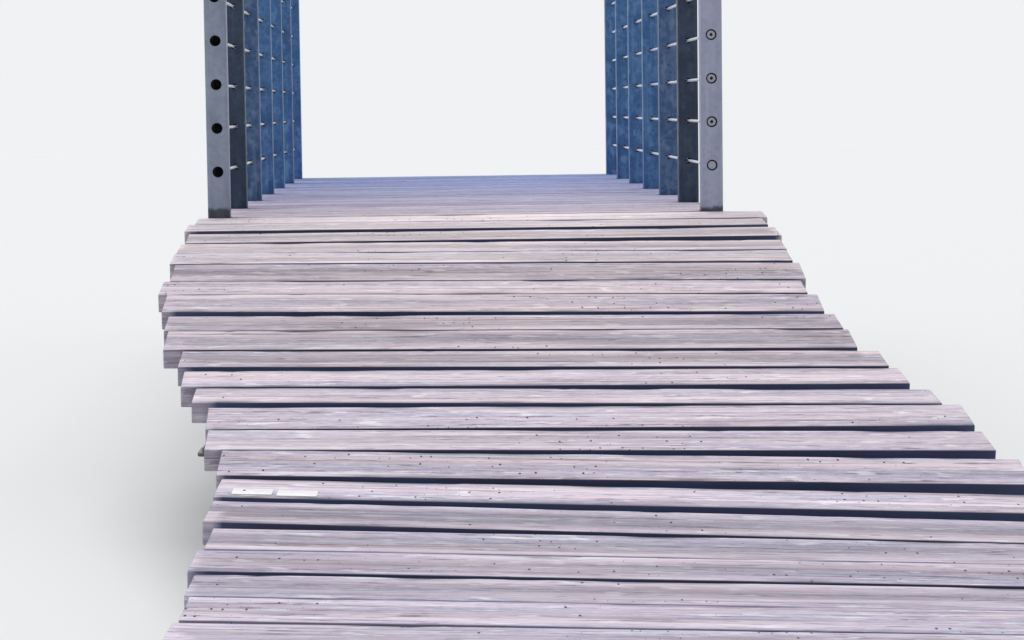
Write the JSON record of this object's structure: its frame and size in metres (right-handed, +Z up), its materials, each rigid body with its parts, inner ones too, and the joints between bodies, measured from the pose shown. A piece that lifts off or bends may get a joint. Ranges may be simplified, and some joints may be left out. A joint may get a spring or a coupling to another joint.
{
  "type": "boardwalk",
  "caption": "Low garden boardwalk: a level timber deck between steel posts threaded with horizontal rods, and a board ramp that turns slightly as it runs down to the ground.",
  "frame": {"origin": "on the ground, at the middle of the overall footprint", "axes": "+Y runs along the walk from the foot of the ramp to the far end of the level deck, +X to the right of someone who walks up it, +Z up"},
  "size_m": [1.818, 8.7208, 1.657],
  "materials": {
    "ramp_boards": "weathered",
    "level_boards": "weathered",
    "framing_timber": "weathered",
    "galvanised_posts": "galvanised, dull",
    "galvanised_frame": "galvanised, dull",
    "bright_rods": "satin"
  },
  "bodies": {
    "root": {"left_post_1": "galvanised_posts", "left_post_2": "galvanised_posts", "left_post_3": "galvanised_posts", "left_post_4": "galvanised_posts", "left_post_5": "galvanised_posts", "left_post_6": "galvanised_posts", "left_post_7": "galvanised_posts", "left_rods": "bright_rods", "left_top_rail": "galvanised_posts", "left_foot_plates": "galvanised_frame", "left_edge_beam": "galvanised_frame", "right_post_1": "galvanised_posts", "right_post_2": "galvanised_posts", "right_post_3": "galvanised_posts", "right_post_4": "galvanised_posts", "right_post_5": "galvanised_posts", "right_post_6": "galvanised_posts", "right_post_7": "galvanised_posts", "right_rods": "bright_rods", "right_top_rail": "galvanised_posts", "right_foot_plates": "galvanised_frame", "right_edge_beam": "galvanised_frame", "rod_nuts": "bright_rods", "header_beam": "galvanised_frame", "cross_beams": "galvanised_frame", "middle_joist": "framing_timber", "deck_boards_1": "level_boards", "deck_boards_2": "level_boards", "deck_boards_3": "level_boards", "deck_boards_4": "level_boards", "deck_boards_5": "level_boards", "deck_boards_6": "level_boards", "end_board": "level_boards", "ramp_boards_top": "ramp_boards", "ramp_boards_upper": "ramp_boards", "ramp_boards_lower": "ramp_boards", "ramp_boards_foot": "ramp_boards", "approach_boards": "ramp_boards", "left_stringer": "framing_timber", "middle_stringer": "framing_timber", "right_stringer": "framing_timber", "approach_bearers": "framing_timber", "upper_cross_beam": "framing_timber", "lower_cross_beam": "framing_timber", "ramp_legs": "framing_timber"}
  },
  "joints": []
}
